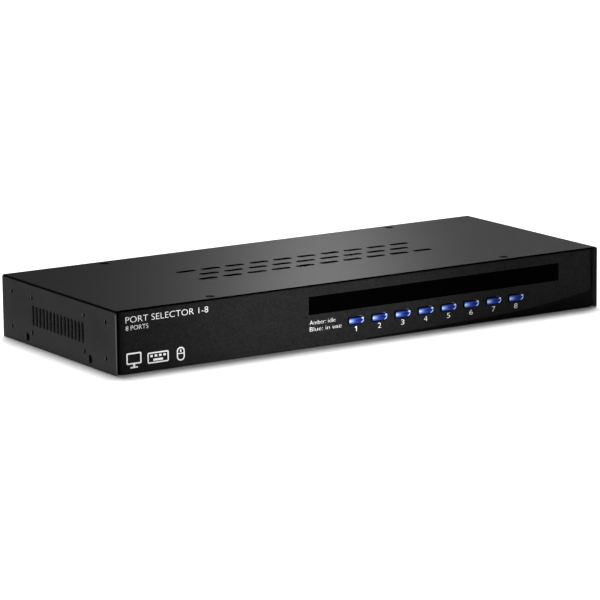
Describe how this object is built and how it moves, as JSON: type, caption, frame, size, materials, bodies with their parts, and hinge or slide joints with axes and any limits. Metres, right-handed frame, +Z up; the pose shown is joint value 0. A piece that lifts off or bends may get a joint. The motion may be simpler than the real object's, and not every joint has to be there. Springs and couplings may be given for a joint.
{
  "type": "kvm switch",
  "caption": "Slim rack-height KVM switch in a black steel case, with illuminated push buttons on its front panel and a row of sockets at the rear.",
  "frame": {"origin": "centre of the case's flat bottom face", "axes": "+Z up, front panel faces -Y, rear sockets face +Y, +X is the right end seen from the front"},
  "size_m": [0.4, 0.1654, 0.044],
  "materials": {
    "case_paint": "fine-textured black powder coat on steel sheet",
    "panel_plastic": "dark grey moulded plastic with a fine spark texture",
    "gloss_black": "polished black",
    "button_blue": "translucent blue, polished",
    "black_screw": "black oxide",
    "zinc_screw": "bright zinc plating",
    "board_green": "green solder resist on glass-fibre board",
    "switch_grey": "dark moulded housing",
    "switch_black": "moulded plunger",
    "lamp_clear": "clear epoxy",
    "connector_black": "moulded black",
    "ribbon_grey": "soft grey insulation",
    "chip_black": "moulded epoxy",
    "tin_plate": "tin-plated steel",
    "capacitor_sleeve": "shrunk sleeve",
    "ferrite": "dark ferrite",
    "sink_aluminium": "dull anodised",
    "socket_blue": "moulded blue",
    "socket_purple": "moulded purple",
    "socket_green": "moulded green",
    "socket_white": "moulded white"
  },
  "bodies": {
    "case": {"top_cover": "case_paint", "base_tray": "case_paint", "front_panel": "panel_plastic", "accent_inlay": "gloss_black", "label_strip": "gloss_black", "cover_screws": "black_screw", "panel_screws": "zinc_screw", "front_board": "board_green", "front_board_spacers": "zinc_screw", "front_board_screws": "zinc_screw", "switch_housings": "switch_grey", "indicator_lamps": "lamp_clear", "front_header": "connector_black", "main_board": "board_green", "board_standoffs": "zinc_screw", "board_screws": "zinc_screw", "main_header": "connector_black", "ribbon_cable": "ribbon_grey", "front_ribbon_socket": "connector_black", "main_ribbon_socket": "connector_black", "controller_chip": "chip_black", "video_selector_chips": "chip_black", "port_chips": "chip_black", "crystal": "tin_plate", "capacitors": "capacitor_sleeve", "power_coil": "ferrite", "regulator": "chip_black", "heat_sink": "sink_aluminium", "buzzer": "connector_black", "port_shells": "tin_plate", "port_inserts": "socket_blue", "console_port_shell": "tin_plate", "console_port_insert": "socket_blue", "chain_port_shell": "tin_plate", "chain_port_insert": "connector_black", "jack_screws": "zinc_screw", "keyboard_mouse_housing": "tin_plate", "keyboard_socket": "socket_purple", "mouse_socket": "socket_green", "usb_shield": "tin_plate", "usb_tongues": "socket_white", "power_inlet": "connector_black", "power_pin": "tin_plate"},
    "press_1": {"button_1": "button_blue", "switch_plunger_1": "switch_black"},
    "press_2": {"button_2": "button_blue", "switch_plunger_2": "switch_black"},
    "press_3": {"button_3": "button_blue", "switch_plunger_3": "switch_black"},
    "press_4": {"button_4": "button_blue", "switch_plunger_4": "switch_black"},
    "press_5": {"button_5": "button_blue", "switch_plunger_5": "switch_black"},
    "press_6": {"button_6": "button_blue", "switch_plunger_6": "switch_black"},
    "press_7": {"button_7": "button_blue", "switch_plunger_7": "switch_black"},
    "press_8": {"button_8": "button_blue", "switch_plunger_8": "switch_black"}
  },
  "joints": [
    {"name": "button_1_press", "type": "slide", "parent": "case", "child": "press_1", "axis": [0, 1, 0], "range_m": [0, 0.0008], "stiffness_N_per_m": 1000, "springref_m": -0.0008},
    {"name": "button_2_press", "type": "slide", "parent": "case", "child": "press_2", "axis": [0, 1, 0], "range_m": [0, 0.0008], "stiffness_N_per_m": 1000, "springref_m": -0.0008},
    {"name": "button_3_press", "type": "slide", "parent": "case", "child": "press_3", "axis": [0, 1, 0], "range_m": [0, 0.0008], "stiffness_N_per_m": 1000, "springref_m": -0.0008},
    {"name": "button_4_press", "type": "slide", "parent": "case", "child": "press_4", "axis": [0, 1, 0], "range_m": [0, 0.0008], "stiffness_N_per_m": 1000, "springref_m": -0.0008},
    {"name": "button_5_press", "type": "slide", "parent": "case", "child": "press_5", "axis": [0, 1, 0], "range_m": [0, 0.0008], "stiffness_N_per_m": 1000, "springref_m": -0.0008},
    {"name": "button_6_press", "type": "slide", "parent": "case", "child": "press_6", "axis": [0, 1, 0], "range_m": [0, 0.0008], "stiffness_N_per_m": 1000, "springref_m": -0.0008},
    {"name": "button_7_press", "type": "slide", "parent": "case", "child": "press_7", "axis": [0, 1, 0], "range_m": [0, 0.0008], "stiffness_N_per_m": 1000, "springref_m": -0.0008},
    {"name": "button_8_press", "type": "slide", "parent": "case", "child": "press_8", "axis": [0, 1, 0], "range_m": [0, 0.0008], "stiffness_N_per_m": 1000, "springref_m": -0.0008}
  ]
}
